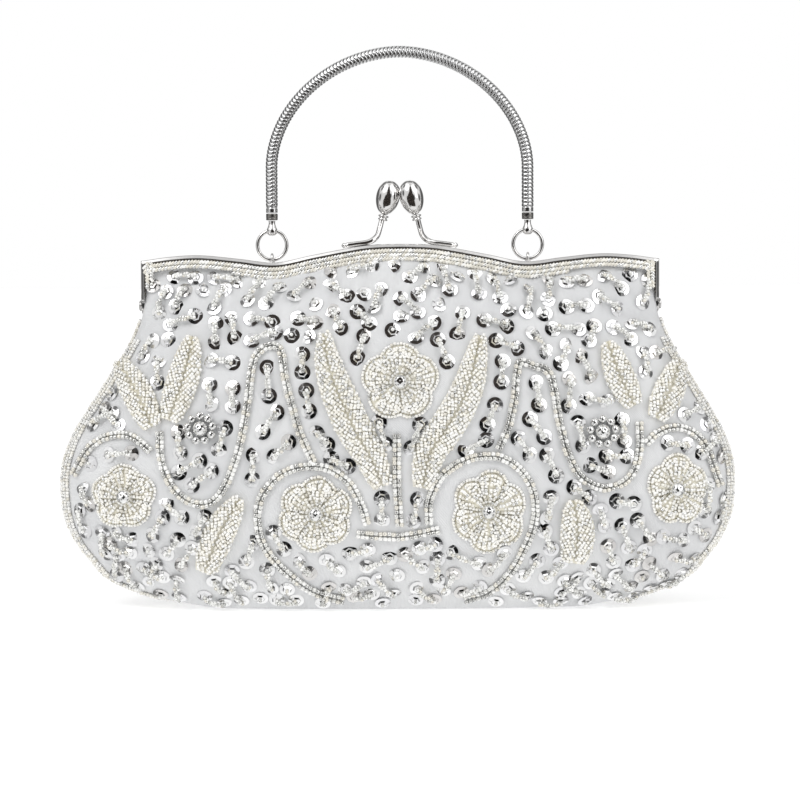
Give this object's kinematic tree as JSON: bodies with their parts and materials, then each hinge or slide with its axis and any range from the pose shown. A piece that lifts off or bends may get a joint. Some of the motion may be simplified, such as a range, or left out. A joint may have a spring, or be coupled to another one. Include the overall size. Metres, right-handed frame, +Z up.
{
  "type": "evening bag",
  "caption": "Clasp-top evening bag in satin with sequin and bead work, a wavy metal frame and an arched snake-chain handle.",
  "frame": {"origin": "centre of the flat underside", "axes": "+X to the bag's right seen from the front, +Y from the front face to the rear, +Z up towards the handle"},
  "size_m": [0.2626, 0.0662, 0.2167],
  "materials": {
    "satin": "satin",
    "lining": "satin",
    "sequins": "mirror silver",
    "seed_bead": "silver-lined",
    "silver_bead": "polished",
    "polished_chrome": "polished",
    "snake_chain": "polished",
    "dull_nickel": "satin"
  },
  "bodies": {
    "bag": {"ball_flower_left": "silver_bead", "ball_flower_right": "silver_bead", "flower_centre": "seed_bead", "flower_centre_ball": "silver_bead", "flower_lower_left": "seed_bead", "flower_lower_left_ball": "silver_bead", "flower_lower_right": "seed_bead", "flower_lower_right_ball": "silver_bead", "flower_outer_left": "seed_bead", "flower_outer_left_ball": "silver_bead", "flower_outer_right": "seed_bead", "flower_outer_right_ball": "silver_bead", "front_panel": "satin", "front_sequin_field": "sequins", "leaf_centre_left": "seed_bead", "leaf_centre_right": "seed_bead", "leaf_lower_left": "seed_bead", "leaf_lower_right": "seed_bead", "leaf_upper_left_inner": "seed_bead", "leaf_upper_left_outer": "seed_bead", "leaf_upper_right_inner": "seed_bead", "leaf_upper_right_outer": "seed_bead", "lining_pouch": "lining", "rear_panel": "satin", "rear_sequin_field": "sequins", "scroll_foot": "seed_bead", "scroll_left_inner": "seed_bead", "scroll_left_middle": "seed_bead", "scroll_left_outer": "seed_bead", "scroll_right_inner": "seed_bead", "scroll_right_middle": "seed_bead", "scroll_right_outer": "seed_bead", "scroll_stem": "seed_bead", "seam_piping": "seed_bead", "slip_pocket": "lining"},
    "front_frame": {"front_bead_rope": "seed_bead", "front_frame_channel": "polished_chrome", "front_gather": "satin", "front_twist_cord": "dull_nickel", "clasp_left_ball": "polished_chrome", "clasp_left_stem": "polished_chrome"},
    "rear_frame": {"rear_bead_rope": "seed_bead", "rear_frame_channel": "polished_chrome", "rear_gather": "satin", "rear_twist_cord": "dull_nickel", "clasp_right_ball": "polished_chrome", "clasp_right_stem": "polished_chrome", "left_lug": "polished_chrome", "right_lug": "polished_chrome", "left_hinge_rivet": "polished_chrome", "right_hinge_rivet": "polished_chrome"},
    "left_ring": {"left_ring": "polished_chrome"},
    "right_ring": {"right_ring": "polished_chrome"},
    "handle": {"handle_chain": "snake_chain", "left_ferrule": "dull_nickel", "right_ferrule": "dull_nickel", "left_ball_end": "polished_chrome", "right_ball_end": "polished_chrome"}
  },
  "joints": [
    {"name": "front_open", "type": "hinge", "parent": "bag", "child": "front_frame", "pos_m": [0, 0, 0.117], "axis": [1, 0, 0], "range_deg": [0, 35]},
    {"name": "rear_open", "type": "hinge", "parent": "bag", "child": "rear_frame", "pos_m": [0, 0, 0.117], "axis": [1, 0, 0], "range_deg": [-35, 0]},
    {"name": "left_ring_swing", "type": "hinge", "parent": "rear_frame", "child": "left_ring", "pos_m": [-0.0494, 0.0031, 0.13445], "axis": [1, 0, 0], "range_deg": [-60, 60]},
    {"name": "right_ring_swing", "type": "hinge", "parent": "rear_frame", "child": "right_ring", "pos_m": [0.0494, 0.0031, 0.13445], "axis": [1, 0, 0], "range_deg": [-60, 60]},
    {"name": "handle_swing", "type": "hinge", "parent": "left_ring", "child": "handle", "pos_m": [-0.0494, 0.0031, 0.14575], "axis": [1, 0, 0], "range_deg": [-60, 80]}
  ],
  "couplings": [
    {"joint": "rear_open", "follows": "front_open", "ratio": -1},
    {"joint": "right_ring_swing", "follows": "left_ring_swing", "ratio": 1}
  ]
}
